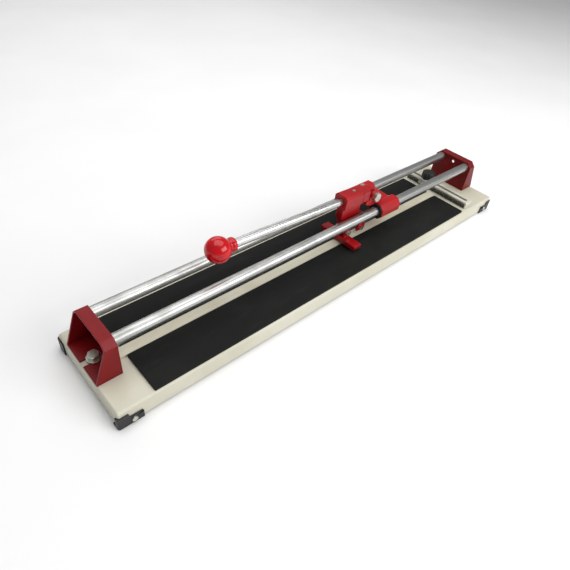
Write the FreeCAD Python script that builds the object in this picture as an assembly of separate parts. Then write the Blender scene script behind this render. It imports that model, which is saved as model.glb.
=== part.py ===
"""Manual rail tile cutter, 600 mm class, as separate pieces.

Frame: +X along the rails towards the fence, +Y to the rear, +Z up. The origin is on the
surface that the cutter stands on, under the middle of the base, on the scoring line.
All sizes are in millimetres.
"""
import FreeCAD, Part
import math
import os

V = FreeCAD.Vector

# ---------------------------------------------------------------- driving dimensions
# base: a pressed steel pan, open below
BASE_LENGTH = 768.0
BASE_WIDTH = 144.0
BASE_TOP = 26.0              # height of the top face above the floor
BASE_SHEET = 1.5
BASE_FOLD_RADIUS = 3.0       # outside radius where the top turns into the walls
WALL_CLEARANCE = 2.0         # the walls end this far above the floor

# corner feet
FOOT_WALL = 1.8
FOOT_SOLE = 2.0
FOOT_SOLE_WIDTH = 11.0
FOOT_HEIGHT = 19.0
FOOT_STEP_HEIGHT = 13.0
FOOT_STEP_AT = 14.0          # from the corner to the step in the upper edge
FOOT_LONG_LEG = 30.0
FRONT_FOOT_WRAP = 4.0        # how far a front foot turns round the corner
REAR_FOOT_WRAP = 14.0
FOOT_CORNER_RADIUS = 3.0
FOOT_SCREW_AT = 18.0
FOOT_SCREW_HEIGHT = 7.5
FOOT_SCREW_RADIUS = 2.0
FOOT_SCREW_LENGTH = 9.0
FOOT_SCREW_HEAD_RADIUS = 3.4
FOOT_SCREW_HEAD_HEIGHT = 1.8

# rails
RAIL_DIAMETER = 15.0
RAIL_WALL = 1.6
RAIL_SPACING = 51.2
RAIL_HEIGHT = 45.2           # rail axis above the base's top face
ARM_RAIL_GAP = 1.5           # between the lever's arm and the front rail

# end brackets
BRACKET_INSET = 1.0          # from the base's end to the bracket's outer edge
BRACKET_DEPTH = 31.5
BRACKET_TOP_DEPTH = 15.5
BRACKET_WIDTH = 75.0
BRACKET_HEIGHT = 55.0
BRACKET_SHEET = 2.5
BRACKET_CHAMFER = 8.0
BRACKET_SLOT_WIDTH = 9.0
BRACKET_BOLT_AT = 15.5       # from the bracket's outer edge to its hold-down bolt
WEB_HOLE_RADIUS = 2.5

# fasteners: shank radius, across flats, head height, nut height
M8 = {"r": 4.0, "af": 13.0, "head": 5.5, "nut": 6.5}
M6 = {"r": 3.0, "af": 10.0, "head": 4.0, "nut": 5.0}
M5 = {"r": 2.5, "af": 8.0, "head": 3.5, "nut": 4.0}
HEAD_BEVEL = 0.2             # how far the turned-off corners come inside the flats
HOLD_DOWN_FLANGE_RADIUS = 9.0
HOLD_DOWN_FLANGE_HEIGHT = 1.8
HOLD_DOWN_THREAD = 16.0
RAIL_WASHER_RADIUS = 6.0
RAIL_WASHER_HEIGHT = 1.2
RAIL_BOLT_THREAD = 20.0
RAIL_PLUG_LENGTH = 25.0

# breaking ridge and pads
RIDGE_WIDTH = 15.0
RIDGE_HEIGHT = 4.2
RIDGE_EDGE_HEIGHT = 3.0      # height of the ridge's straight sides
RIDGE_START_GAP = 3.0        # from the near bracket to the ridge
RIDGE_END_GAP = 15.0         # from the ridge to the fence
PAD_THICKNESS = 3.0
PAD_SIDE_GAP = 0.8           # between a pad and the ridge
PAD_START_GAP = 15.0         # from the near bracket to the pads
PAD_END_GAP = 13.0           # from the pads to the fence
FRONT_PAD_EDGE_MARGIN = 2.5  # bare strip in front of the front pad
REAR_PAD_EDGE_MARGIN = 7.5    # bare strip behind the rear pad
PAD_CORNER_RADIUS = 1.5

# fence
FENCE_SETBACK = 52.5         # from the far bracket to the fence's working face
FENCE_DEPTH = 20.0
FENCE_HEIGHT = 12.0
FENCE_LENGTH = 132.0
FENCE_CORNER_RADIUS = 1.2
FENCE_SLOT_WIDTH = 6.0
FENCE_SLOT_LIP = 2.5         # thickness of the fence above its tee channel
FENCE_SLOT_MARGIN = 5.0      # from the slot's ends to the fence's ends
FENCE_CHANNEL_WIDTH = 12.0
FENCE_CHANNEL_HEIGHT = 5.0
FENCE_SCREW_RADIUS = 2.0
FENCE_SCREW_GRIP = 3.0
FENCE_SCREW_HEAD_RADIUS = 3.5
FENCE_SCREW_HEAD_HEIGHT = 1.8
FENCE_SCREW_MARGIN = 12.0
RULER_THICKNESS = 0.6
RULER_HEIGHT = 8.0
RULER_END_MARGIN = 2.0

# side stop, clamped on the fence
STOP_AT = 28.0               # its place along the fence
STOP_WIDTH = 18.0
STOP_PLATE = 2.5
STOP_LIP_THICKNESS = 3.0
STOP_LIP_GAP = 0.5           # in front of the ruler
STOP_FLOOR_GAP = 1.5         # under the lip, above the pads
STOP_LIFT = 0.3              # running gap under the stop plate
TEE_NUT_LENGTH = 14.0
TEE_NUT_HEIGHT = 4.0
TEE_NUT_SIDE_GAP = 0.4
STOP_STUD_RADIUS = 2.5
STOP_KNOB_RADIUS = 12.0
STOP_KNOB_HEIGHT = 12.0
STOP_KNOB_LOBES = 6
STOP_KNOB_LOBE_RADIUS = 3.0
STOP_KNOB_ROUND = 2.0
STOP_STUD_IN_KNOB = 7.2
STOP_KNOB_GAP = 0.4

# carriage
CARRIAGE_NEAR = 93.0         # near face of the sleeves
SLEEVE_LENGTH = 44.0
SLEEVE_WALL = 3.0            # from the bore to the middle of each of its eight flats
BRIDGE_START = 6.0           # from the sleeves' near face to the bridge
BRIDGE_ABOVE = 7.0
BRIDGE_BELOW = 6.0
LUG_THICKNESS = 6.0
LUG_RADIUS = 9.0
LUG_FOOT_LENGTH = 15.0       # along the sleeve
LUG_TOE = 20.0               # from the pivot to the end of the lever's rest
LUG_TOE_DROP = 9.0           # thickness of the rest under the lever's neck
LUG_OVER_SLEEVE = 1.5        # room above the bush flange
BUSH_LENGTH = 10.0
BUSH_WALL = 2.35
BUSH_FLANGE_STEP = 1.8       # the flange stands out this far round the sleeve's bore
BUSH_FLANGE_THICKNESS = 1.5

# lever
PIVOT_X = 86.0
PIVOT_ABOVE_RAILS = 27.3
HANDLE_ABOVE_PIVOT = 4.0
HANDLE_TILT = 2.95           # degrees, rising towards the knob
HUB_RADIUS = 10.0
NECK_HALF_HEIGHT = 8.5
NECK_WIDTH = 22.0
NECK_START = 13.0            # from the pivot to the wide part of the neck
NECK_REST_GAP = 0.2          # between the neck and the toes it rests on
SOCKET_START = 29.0          # from the pivot to the socket block
SOCKET_END = 69.0
SOCKET_SIZE = 24.0
SOCKET_CHAMFER = 4.0
SOCKET_DEPTH = 34.0
SOCKET_SCREW_AT = 42.0
SOCKET_SCREW_RADIUS = 2.5
ARM_THICKNESS = 12.0
ARM_NEAR = 20.0              # near edge of the arm under the socket block
ARM_FAR = 61.0               # far edge of the arm between the rails
ARM_CROTCH_X = 56.0          # top of the opening between the foot and the wheel
ARM_CROTCH_Z = 54.0
ARM_TIP_RADIUS = 5.5
TUBE_DIAMETER = 12.0
TUBE_WALL = 1.2
KNOB_AT = 288.0              # from the pivot to the ball's centre
KNOB_RADIUS = 17.0
KNOB_COLLAR_RADIUS = 9.5
KNOB_COLLAR_LENGTH = 24.5    # from the ball's centre to the collar's end
KNOB_COLLAR_ROUND = 2.5
KNOB_SOCKET_DEPTH = 8.0
KNOB_STUD_RADIUS = 3.0
KNOB_STUD_LENGTH = 12.0
KNOB_PLUG_LENGTH = 16.0

# breaking foot
BAR_LENGTH = 72.0
BAR_START = 28.0
BAR_DEPTH = 16.0
BAR_GAP = 2.0                # above the ridge with the lever down
BAR_THICKNESS = 8.0
BAR_END_CHAMFER = 3.0
BAR_EDGE_RADIUS = 1.5
EAR_THICKNESS = 3.0
EAR_RADIUS = 6.0
EAR_FOOT_HALF = 6.5          # half the ear's length where it meets the bar
HINGE_X = 39.0
HINGE_ABOVE_BAR = 8.0

# scoring wheel and its holder
WHEEL_X = 77.0
WHEEL_RADIUS = 9.0
WHEEL_WIDTH = 3.0
WHEEL_EDGE = 0.4             # width left at the cutting edge
WHEEL_BEVEL = 2.2
WHEEL_GAP = 1.3              # above the ridge with the lever down
AXLE_RADIUS = 2.5
AXLE_HEAD_RADIUS = 4.0
AXLE_HEAD_HEIGHT = 2.4
AXLE_RIVET_HEIGHT = 1.0
HOLDER_LENGTH = 17.0
HOLDER_DROP = 5.0            # below the axle
HOLDER_SHOULDER = 12.0       # from the axle up to the arm
HOLDER_EDGE_RADIUS = 1.2
WHEEL_TOP_ROOM = 0.6         # above the wheel in its slot
TONGUE_THICKNESS = 5.0
TONGUE_HEIGHT = 11.0
TONGUE_LENGTH = 13.0
TONGUE_BOLT_RISE = 5.5       # from the shoulder to the bolt
HOLDER_SEAT_HEIGHT = 14.0    # height of the arm above the holder

# clearances
RUNNING = 0.05               # radial, pins and bolts that something turns on
SLIDING = 0.10               # radial, bushes on the rails
LOOSE = 0.30                 # side play between faces that move past each other
SEATED = 0.05                # radial, pieces pushed into each other

# ---------------------------------------------------------------- derived places
HALF_BASE = BASE_LENGTH / 2
HALF_WIDTH = BASE_WIDTH / 2
RAIL_Z = BASE_TOP + RAIL_HEIGHT
RAIL_RADIUS = RAIL_DIAMETER / 2
ARM_SIDE = ARM_THICKNESS / 2
FRONT_RAIL_Y = -(ARM_SIDE + ARM_RAIL_GAP + RAIL_RADIUS)
REAR_RAIL_Y = FRONT_RAIL_Y + RAIL_SPACING
RAILS_MIDDLE_Y = (FRONT_RAIL_Y + REAR_RAIL_Y) / 2
SLEEVE_BORE_RADIUS = RAIL_RADIUS + SLIDING + BUSH_WALL + SEATED
SLEEVE_FLATS = 2 * (SLEEVE_BORE_RADIUS + SLEEVE_WALL)
BUSH_FLANGE_RADIUS = SLEEVE_BORE_RADIUS + BUSH_FLANGE_STEP
BRACKET_OUTER_X = HALF_BASE - BRACKET_INSET
WEB_X = BRACKET_OUTER_X - BRACKET_DEPTH          # inner face of the far web
HOLD_DOWN_X = BRACKET_OUTER_X - BRACKET_BOLT_AT
FENCE_X = WEB_X - FENCE_SETBACK
SLOT_X = FENCE_X + FENCE_DEPTH / 2
FENCE_TOP = BASE_TOP + FENCE_HEIGHT
RIDGE_TOP = BASE_TOP + RIDGE_HEIGHT
PAD_TOP = BASE_TOP + PAD_THICKNESS
PIVOT_Z = RAIL_Z + PIVOT_ABOVE_RAILS
PIVOT = V(PIVOT_X, 0, PIVOT_Z)
LUG_INNER = ARM_THICKNESS / 2 + LOOSE            # from the scoring line to a lug
LUG_OUTER = LUG_INNER + LUG_THICKNESS
TUBE_RADIUS = TUBE_DIAMETER / 2
BAR_BOTTOM = RIDGE_TOP + BAR_GAP
BAR_TOP = BAR_BOTTOM + BAR_THICKNESS
HINGE_Z = BAR_TOP + HINGE_ABOVE_BAR
WHEEL_Z = RIDGE_TOP + WHEEL_GAP + WHEEL_RADIUS
SHOULDER_Z = WHEEL_Z + HOLDER_SHOULDER
HOLDER_BOLT_Z = SHOULDER_Z + TONGUE_BOLT_RISE
WHEEL_SLOT = WHEEL_WIDTH / 2 + LOOSE
FOOT_SPAN = ARM_SIDE + LOOSE + EAR_THICKNESS     # from the scoring line to an ear's outer face
STOP_TOP = FENCE_TOP + STOP_LIFT + STOP_PLATE

X_AXIS, Y_AXIS, Z_AXIS = V(1, 0, 0), V(0, 1, 0), V(0, 0, 1)
ORIGIN = V(0, 0, 0)
PAST = 1.0                   # how far a cutting shape runs past the face it cuts


# ---------------------------------------------------------------- shape helpers
def block(x, y, z):
    """A box from three (low, high) pairs."""
    return Part.makeBox(x[1] - x[0], y[1] - y[0], z[1] - z[0], V(x[0], y[0], z[0]))


def rod(radius, start, axis, length):
    """A round bar from a start point along an axis."""
    return Part.makeCylinder(radius, length, start, axis)


def tube(outer, inner, start, axis, length):
    bore = rod(inner, start - axis * PAST, axis, length + 2 * PAST)
    return rod(outer, start, axis, length).cut(bore)


def prism_xz(points, y_low, y_high):
    """A flat outline of (x, z) points, made solid from y_low to y_high."""
    corners = [V(x, y_low, z) for x, z in points]
    face = Part.Face(Part.makePolygon(corners + corners[:1]))
    return face.extrude(V(0, y_high - y_low, 0))


def prism_yz(points, x_low, x_high):
    """A flat outline of (y, z) points, made solid from x_low to x_high."""
    corners = [V(x_low, y, z) for y, z in points]
    face = Part.Face(Part.makePolygon(corners + corners[:1]))
    return face.extrude(V(x_high - x_low, 0, 0))


def polygon_bar(sides, flats, start, axis, length, turn=0.0):
    """A bar with regular flats, such as a hexagon head, from a start point along an axis."""
    corner = flats / 2 / math.cos(math.pi / sides)
    points = []
    for i in range(sides):
        angle = math.radians(turn) + 2 * math.pi * i / sides
        points.append(V(corner * math.cos(angle), corner * math.sin(angle), 0))
    bar = Part.Face(Part.makePolygon(points + points[:1])).extrude(V(0, 0, length))
    bar.Placement = FreeCAD.Placement(start, FreeCAD.Rotation(Z_AXIS, axis))
    return bar


def hex_head(size, start, axis, height):
    """A hexagon with its outer corners turned off, as on a bolt head or a nut."""
    head = polygon_bar(6, size["af"], start, axis, height)
    top = size["af"] / 2 - HEAD_BEVEL
    run = 2 * (height + PAST)
    cone = Part.makeCone(top + run, top, height + PAST, start - axis * PAST, axis)
    return head.common(cone)


def bolt(size, seat, axis, length):
    """A hex bolt: its head sits on the seat against the axis, its shank runs along the axis."""
    head = hex_head(size, seat, axis * -1, size["head"])
    return head.fuse(rod(size["r"], seat, axis, length)).removeSplitter()


def nut(size, seat, axis):
    body = hex_head(size, seat, axis, size["nut"])
    return body.cut(rod(size["r"] + RUNNING, seat - axis * PAST, axis, size["nut"] + 2 * PAST))


def fuse(*shapes):
    return shapes[0].fuse(list(shapes[1:])).removeSplitter()


def cut(shape, *tools):
    return shape.cut(list(tools)).removeSplitter()


def edges_at(shape, test):
    """Edges whose ends and middle all pass a test on their points."""
    chosen = []
    for edge in shape.Edges:
        middle = edge.valueAt((edge.FirstParameter + edge.LastParameter) / 2)
        if all(test(p) for p in [v.Point for v in edge.Vertexes] + [middle]):
            chosen.append(edge)
    return chosen


def near(a, b):
    return abs(a - b) < 1e-4


def flip_x(shape):
    return shape.mirror(ORIGIN, X_AXIS)


def flip_y(shape):
    return shape.mirror(ORIGIN, Y_AXIS)


def group(shapes):
    return Part.makeCompound(shapes)


def disc_xz(x, z, radius, y_low, y_high):
    return rod(radius, V(x, y_low, z), Y_AXIS, y_high - y_low)


# ---------------------------------------------------------------- base
def pan(half_length, half_width, low, high, radius):
    """A block with its upper edges and upright corners rounded alike."""
    body = block((-half_length, half_length), (-half_width, half_width), (low, high))
    upper = edges_at(body, lambda p: near(p.z, high))
    upright = [e for e in body.Edges if near(e.Vertexes[0].X, e.Vertexes[1].X)
               and near(e.Vertexes[0].Y, e.Vertexes[1].Y)]
    return body.makeFillet(radius, upper + upright)


def base_plate():
    outer = pan(HALF_BASE, HALF_WIDTH, WALL_CLEARANCE, BASE_TOP, BASE_FOLD_RADIUS)
    inner = pan(HALF_BASE - BASE_SHEET, HALF_WIDTH - BASE_SHEET, WALL_CLEARANCE - PAST,
                BASE_TOP - BASE_SHEET, BASE_FOLD_RADIUS - BASE_SHEET)
    holes = []
    for side in (-1, 1):
        start = V(side * HOLD_DOWN_X, RAILS_MIDDLE_Y, 0)
        holes.append(rod(M8["r"] + LOOSE, start, Z_AXIS, BASE_TOP + PAST))
    for place in fence_screw_places():
        holes.append(rod(FENCE_SCREW_RADIUS + LOOSE, place, Z_AXIS, BASE_TOP + PAST))
    for x in (-1, 1):
        screw_x = x * (HALF_BASE - FOOT_SCREW_AT)
        start = V(screw_x, -HALF_WIDTH - PAST, FOOT_SCREW_HEIGHT)
        holes.append(rod(FOOT_SCREW_RADIUS + SEATED, start, Y_AXIS, BASE_WIDTH + 2 * PAST))
    return cut(outer, inner, *holes)


def near_front_foot(wrap):
    """A foot at the -X, -Y corner that turns round the corner by wrap; the others are mirror images."""
    x0, y0 = -HALF_BASE, -HALF_WIDTH
    outer_x, outer_y = x0 - FOOT_WALL, y0 - FOOT_WALL
    side = prism_xz([(outer_x, 0), (x0 + FOOT_LONG_LEG, 0), (x0 + FOOT_LONG_LEG, FOOT_STEP_HEIGHT),
                     (x0 + FOOT_STEP_AT, FOOT_STEP_HEIGHT), (x0 + FOOT_STEP_AT - FOOT_WALL, FOOT_HEIGHT),
                     (outer_x, FOOT_HEIGHT)], outer_y, y0)
    end = block((outer_x, x0), (outer_y, y0 + wrap), (0, FOOT_HEIGHT))
    corner = block((outer_x, x0 + BASE_FOLD_RADIUS), (outer_y, y0 + BASE_FOLD_RADIUS), (0, FOOT_HEIGHT))
    side_sole = block((outer_x, x0 + FOOT_LONG_LEG), (outer_y, y0 + FOOT_SOLE_WIDTH), (0, FOOT_SOLE))
    end_sole = block((outer_x, x0 + FOOT_SOLE_WIDTH), (outer_y, y0 + FOOT_SOLE_WIDTH), (0, FOOT_SOLE))
    body = fuse(side, end, corner, side_sole, end_sole)
    round_edges = edges_at(body, lambda p: near(p.x, outer_x) and near(p.y, outer_y))
    round_edges += edges_at(body, lambda p: near(p.x, x0 + FOOT_LONG_LEG) and p.y <= y0 + PAST / 2
                            and near(p.z, FOOT_STEP_HEIGHT))
    body = body.makeFillet(FOOT_CORNER_RADIUS, round_edges)
    start = V(x0 + FOOT_SCREW_AT, outer_y - PAST, FOOT_SCREW_HEIGHT)
    hole = rod(FOOT_SCREW_RADIUS + SEATED, start, Y_AXIS, FOOT_WALL + 2 * PAST)
    metal = pan(HALF_BASE, HALF_WIDTH, FOOT_SOLE, BASE_TOP, BASE_FOLD_RADIUS)
    return cut(body, hole, metal)


def near_front_foot_screw():
    seat = V(-HALF_BASE + FOOT_SCREW_AT, -HALF_WIDTH - FOOT_WALL, FOOT_SCREW_HEIGHT)
    head = rod(FOOT_SCREW_HEAD_RADIUS, seat - Y_AXIS * FOOT_SCREW_HEAD_HEIGHT, Y_AXIS, FOOT_SCREW_HEAD_HEIGHT)
    return fuse(head, rod(FOOT_SCREW_RADIUS, seat, Y_AXIS, FOOT_SCREW_LENGTH))


def corner_copies(shape):
    """The four corner copies: near front, near rear, far front, far rear."""
    return [shape, flip_y(shape), flip_x(shape), flip_x(flip_y(shape))]


def breaking_ridge():
    """A long bar with a low crowned top and a half-round far end."""
    start = -WEB_X + RIDGE_START_GAP
    end = FENCE_X - RIDGE_END_GAP
    half = RIDGE_WIDTH / 2
    low, edge, top = BASE_TOP, BASE_TOP + RIDGE_EDGE_HEIGHT, RIDGE_TOP
    sides = [Part.makeLine(V(start, -half, edge), V(start, -half, low)),
             Part.makeLine(V(start, -half, low), V(start, half, low)),
             Part.makeLine(V(start, half, low), V(start, half, edge)),
             Part.Arc(V(start, half, edge), V(start, 0, top), V(start, -half, edge)).toShape()]
    bar = Part.Face(Part.Wire(sides)).extrude(V(end - start, 0, 0))
    straight = block((start, end - half), (-half, half), (low, top + PAST))
    round_end = rod(half, V(end - half, 0, low), Z_AXIS, RIDGE_HEIGHT + PAST)
    return bar.common(straight.fuse(round_end)).removeSplitter()


def pad(y_low, y_high):
    x_range = (-WEB_X + PAD_START_GAP, FENCE_X - PAD_END_GAP)
    sheet = block(x_range, (y_low, y_high), (BASE_TOP, PAD_TOP))
    upright = [e for e in sheet.Edges if near(e.Vertexes[0].X, e.Vertexes[1].X)
               and near(e.Vertexes[0].Y, e.Vertexes[1].Y)]
    return sheet.makeFillet(PAD_CORNER_RADIUS, upright)


def front_pad():
    return pad(-HALF_WIDTH + FRONT_PAD_EDGE_MARGIN, -RIDGE_WIDTH / 2 - PAD_SIDE_GAP)


def rear_pad():
    return pad(RIDGE_WIDTH / 2 + PAD_SIDE_GAP, HALF_WIDTH - REAR_PAD_EDGE_MARGIN)


# ---------------------------------------------------------------- rails and brackets
def bracket_outline(inset):
    """The bracket seen along the rails, drawn in by a sheet thickness when inset."""
    half = BRACKET_WIDTH / 2 - inset
    high = BRACKET_HEIGHT - inset
    corner = BRACKET_CHAMFER - inset * (2 - math.sqrt(2))
    rise = BASE_TOP + high
    low = BASE_TOP + inset
    middle = RAILS_MIDDLE_Y
    return [(middle - half, low), (middle + half, low), (middle + half, rise - corner),
            (middle + half - corner, rise), (middle - half + corner, rise), (middle - half, rise - corner)]


def far_bracket():
    """A folded bracket, open towards the end of the base, with sides that widen downwards."""
    web_back = WEB_X + BRACKET_SHEET
    shell = prism_yz(bracket_outline(0), WEB_X, BRACKET_OUTER_X)
    hollow = prism_yz(bracket_outline(BRACKET_SHEET), web_back, BRACKET_OUTER_X + PAST)
    top = BASE_TOP + BRACKET_HEIGHT
    lip_x = WEB_X + BRACKET_TOP_DEPTH
    taper = prism_xz([(lip_x, top + PAST), (lip_x, top - BRACKET_CHAMFER),
                      (BRACKET_OUTER_X, BASE_TOP + BRACKET_SHEET),
                      (BRACKET_OUTER_X + PAST, BASE_TOP + BRACKET_SHEET),
                      (BRACKET_OUTER_X + PAST, top + PAST)], -BASE_WIDTH, BASE_WIDTH)
    holes = []
    through = BRACKET_SHEET + 2 * PAST
    for rail_y in (FRONT_RAIL_Y, REAR_RAIL_Y):
        holes.append(rod(M6["r"] + LOOSE, V(WEB_X - PAST, rail_y, RAIL_Z), X_AXIS, through))
    holes.append(rod(WEB_HOLE_RADIUS, V(WEB_X - PAST, RAILS_MIDDLE_Y, RAIL_Z), X_AXIS, through))
    half_slot = BRACKET_SLOT_WIDTH / 2
    slot_z = (BASE_TOP - PAST, BASE_TOP + BRACKET_SHEET + PAST)
    slot = block((HOLD_DOWN_X, BRACKET_OUTER_X + PAST),
                 (RAILS_MIDDLE_Y - half_slot, RAILS_MIDDLE_Y + half_slot), slot_z)
    slot_end = rod(half_slot, V(HOLD_DOWN_X, RAILS_MIDDLE_Y, slot_z[0]), Z_AXIS, slot_z[1] - slot_z[0])
    return cut(shell, hollow, taper, slot, slot_end, *holes)


def far_hold_down_bolt():
    seat = V(HOLD_DOWN_X, RAILS_MIDDLE_Y, BASE_TOP + BRACKET_SHEET)
    flange = rod(HOLD_DOWN_FLANGE_RADIUS, seat, Z_AXIS, HOLD_DOWN_FLANGE_HEIGHT)
    body = bolt(M8, seat + Z_AXIS * HOLD_DOWN_FLANGE_HEIGHT, Z_AXIS * -1, HOLD_DOWN_THREAD)
    return fuse(flange, body)


def far_hold_down_nut():
    return nut(M8, V(HOLD_DOWN_X, RAILS_MIDDLE_Y, BASE_TOP - BASE_SHEET), Z_AXIS * -1)


def rail(rail_y):
    return tube(RAIL_RADIUS, RAIL_RADIUS - RAIL_WALL, V(-WEB_X, rail_y, RAIL_Z), X_AXIS, 2 * WEB_X)


def far_rail_plug(rail_y):
    outer = RAIL_RADIUS - RAIL_WALL - SEATED
    return tube(outer, M6["r"] + RUNNING, V(WEB_X, rail_y, RAIL_Z), X_AXIS * -1, RAIL_PLUG_LENGTH)


def far_rail_washer(rail_y):
    seat = V(WEB_X + BRACKET_SHEET, rail_y, RAIL_Z)
    return tube(RAIL_WASHER_RADIUS, M6["r"] + LOOSE, seat, X_AXIS, RAIL_WASHER_HEIGHT)


def far_rail_bolt(rail_y):
    seat = V(WEB_X + BRACKET_SHEET + RAIL_WASHER_HEIGHT, rail_y, RAIL_Z)
    return bolt(M6, seat, X_AXIS * -1, RAIL_BOLT_THREAD)


def at_both_rails_and_ends(maker):
    shapes = []
    for rail_y in (FRONT_RAIL_Y, REAR_RAIL_Y):
        far = maker(rail_y)
        shapes += [far, flip_x(far)]
    return group(shapes)


# ---------------------------------------------------------------- fence and side stop
def fence_screw_places():
    """Where the fence's screws start, just under the base's top sheet."""
    reach = FENCE_LENGTH / 2 - FENCE_SCREW_MARGIN
    return [V(SLOT_X, y, BASE_TOP - BASE_SHEET) for y in (-reach, reach)]


def fence_bar():
    half = FENCE_LENGTH / 2
    bar = block((FENCE_X, FENCE_X + FENCE_DEPTH), (-half, half), (BASE_TOP, FENCE_TOP))
    along = edges_at(bar, lambda p: near(p.z, FENCE_TOP))
    bar = bar.makeFillet(FENCE_CORNER_RADIUS, along)
    channel_top = FENCE_TOP - FENCE_SLOT_LIP
    channel = block((SLOT_X - FENCE_CHANNEL_WIDTH / 2, SLOT_X + FENCE_CHANNEL_WIDTH / 2),
                    (-half + FENCE_SLOT_MARGIN, half - FENCE_SLOT_MARGIN),
                    (channel_top - FENCE_CHANNEL_HEIGHT, channel_top))
    slot_radius = FENCE_SLOT_WIDTH / 2
    reach = half - FENCE_SLOT_MARGIN - slot_radius
    slot = block((SLOT_X - slot_radius, SLOT_X + slot_radius), (-reach, reach),
                 (channel_top, FENCE_TOP + PAST))
    ends = [rod(slot_radius, V(SLOT_X, y, channel_top), Z_AXIS, FENCE_SLOT_LIP + PAST)
            for y in (-reach, reach)]
    holes = [rod(FENCE_SCREW_RADIUS + SEATED, place, Z_AXIS, BASE_SHEET + FENCE_SCREW_GRIP + SEATED)
             for place in fence_screw_places()]
    return cut(bar, channel, slot, *ends, *holes)


def fence_screws():
    screws = []
    for place in fence_screw_places():
        head = rod(FENCE_SCREW_HEAD_RADIUS, place, Z_AXIS * -1, FENCE_SCREW_HEAD_HEIGHT)
        screws.append(fuse(head, rod(FENCE_SCREW_RADIUS, place, Z_AXIS, BASE_SHEET + FENCE_SCREW_GRIP)))
    return group(screws)


def ruler_strip():
    half = FENCE_LENGTH / 2 - RULER_END_MARGIN
    middle = BASE_TOP + (FENCE_HEIGHT - FENCE_CORNER_RADIUS) / 2
    return block((FENCE_X - RULER_THICKNESS, FENCE_X), (-half, half),
                 (middle - RULER_HEIGHT / 2, middle + RULER_HEIGHT / 2))


def side_stop():
    y_range = (STOP_AT - STOP_WIDTH / 2, STOP_AT + STOP_WIDTH / 2)
    lip_back = FENCE_X - RULER_THICKNESS - STOP_LIP_GAP
    plate = block((lip_back - STOP_LIP_THICKNESS, FENCE_X + FENCE_DEPTH), y_range,
                  (FENCE_TOP + STOP_LIFT, STOP_TOP))
    lip = block((lip_back - STOP_LIP_THICKNESS, lip_back), y_range, (PAD_TOP + STOP_FLOOR_GAP, STOP_TOP))
    hole = rod(STOP_STUD_RADIUS + RUNNING, V(SLOT_X, STOP_AT, FENCE_TOP), Z_AXIS, FENCE_HEIGHT)
    body = fuse(plate, lip)
    front = edges_at(body, lambda p: near(p.x, lip_back - STOP_LIP_THICKNESS) and near(p.z, STOP_TOP))
    return cut(body.makeFillet(STOP_PLATE / 2, front), hole)


def stop_tee_nut():
    half_x = FENCE_CHANNEL_WIDTH / 2 - TEE_NUT_SIDE_GAP
    top = FENCE_TOP - FENCE_SLOT_LIP - (FENCE_CHANNEL_HEIGHT - TEE_NUT_HEIGHT) / 2
    body = block((SLOT_X - half_x, SLOT_X + half_x),
                 (STOP_AT - TEE_NUT_LENGTH / 2, STOP_AT + TEE_NUT_LENGTH / 2), (top - TEE_NUT_HEIGHT, top))
    hole = rod(STOP_STUD_RADIUS + RUNNING, V(SLOT_X, STOP_AT, top - TEE_NUT_HEIGHT - PAST), Z_AXIS,
               TEE_NUT_HEIGHT + 2 * PAST)
    return cut(body, hole)


def stud_reach():
    """The stud's lower and upper ends."""
    low = FENCE_TOP - FENCE_SLOT_LIP - FENCE_CHANNEL_HEIGHT + STOP_LIFT
    return low, STOP_TOP + STOP_KNOB_GAP + STOP_STUD_IN_KNOB


def stop_stud():
    low, high = stud_reach()
    return rod(STOP_STUD_RADIUS, V(SLOT_X, STOP_AT, low), Z_AXIS, high - low)


def stop_knob():
    """A scalloped clamp knob with a short round boss under it."""
    bottom = STOP_TOP + STOP_KNOB_GAP
    centre = V(SLOT_X, STOP_AT, bottom)
    body = rod(STOP_KNOB_RADIUS, centre, Z_AXIS, STOP_KNOB_HEIGHT)
    rim = edges_at(body, lambda p: near(p.z, bottom + STOP_KNOB_HEIGHT) and near((p - centre).x ** 2
                   + (p - centre).y ** 2, STOP_KNOB_RADIUS ** 2))
    body = body.makeFillet(STOP_KNOB_ROUND, rim)
    scallops = []
    for i in range(STOP_KNOB_LOBES):
        angle = 2 * math.pi * (i + 0.5) / STOP_KNOB_LOBES
        out = V(math.cos(angle), math.sin(angle), 0) * (STOP_KNOB_RADIUS + STOP_KNOB_LOBE_RADIUS / 2)
        scallops.append(rod(STOP_KNOB_LOBE_RADIUS, centre + out, Z_AXIS, STOP_KNOB_HEIGHT + PAST))
    _, high = stud_reach()
    socket = rod(STOP_STUD_RADIUS + SEATED, centre, Z_AXIS, high - bottom + SEATED)
    return cut(body, socket, *scallops)


# ---------------------------------------------------------------- carriage
def sleeve(rail_y):
    return polygon_bar(8, SLEEVE_FLATS, V(CARRIAGE_NEAR, rail_y, RAIL_Z), X_AXIS, SLEEVE_LENGTH, 22.5)


def lug(y_low, y_high):
    """An upright ear that holds the pivot bolt, with a toe that the lever's neck rests on."""
    far = CARRIAGE_NEAR + LUG_FOOT_LENGTH
    over_flange = RAIL_Z + BUSH_FLANGE_RADIUS + LUG_OVER_SLEEVE
    toe_x = PIVOT_X - LUG_TOE
    web = prism_xz([(toe_x, PIVOT_Z), (toe_x, PIVOT_Z - LUG_TOE_DROP), (PIVOT_X - LUG_RADIUS, over_flange),
                    (CARRIAGE_NEAR, over_flange), (CARRIAGE_NEAR, RAIL_Z), (far, RAIL_Z),
                    (far, RAIL_Z + SLEEVE_FLATS / 2), (PIVOT_X + LUG_RADIUS, PIVOT_Z), (PIVOT_X, PIVOT_Z)],
                   y_low, y_high)
    return fuse(web, disc_xz(PIVOT_X, PIVOT_Z, LUG_RADIUS, y_low, y_high))


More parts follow.
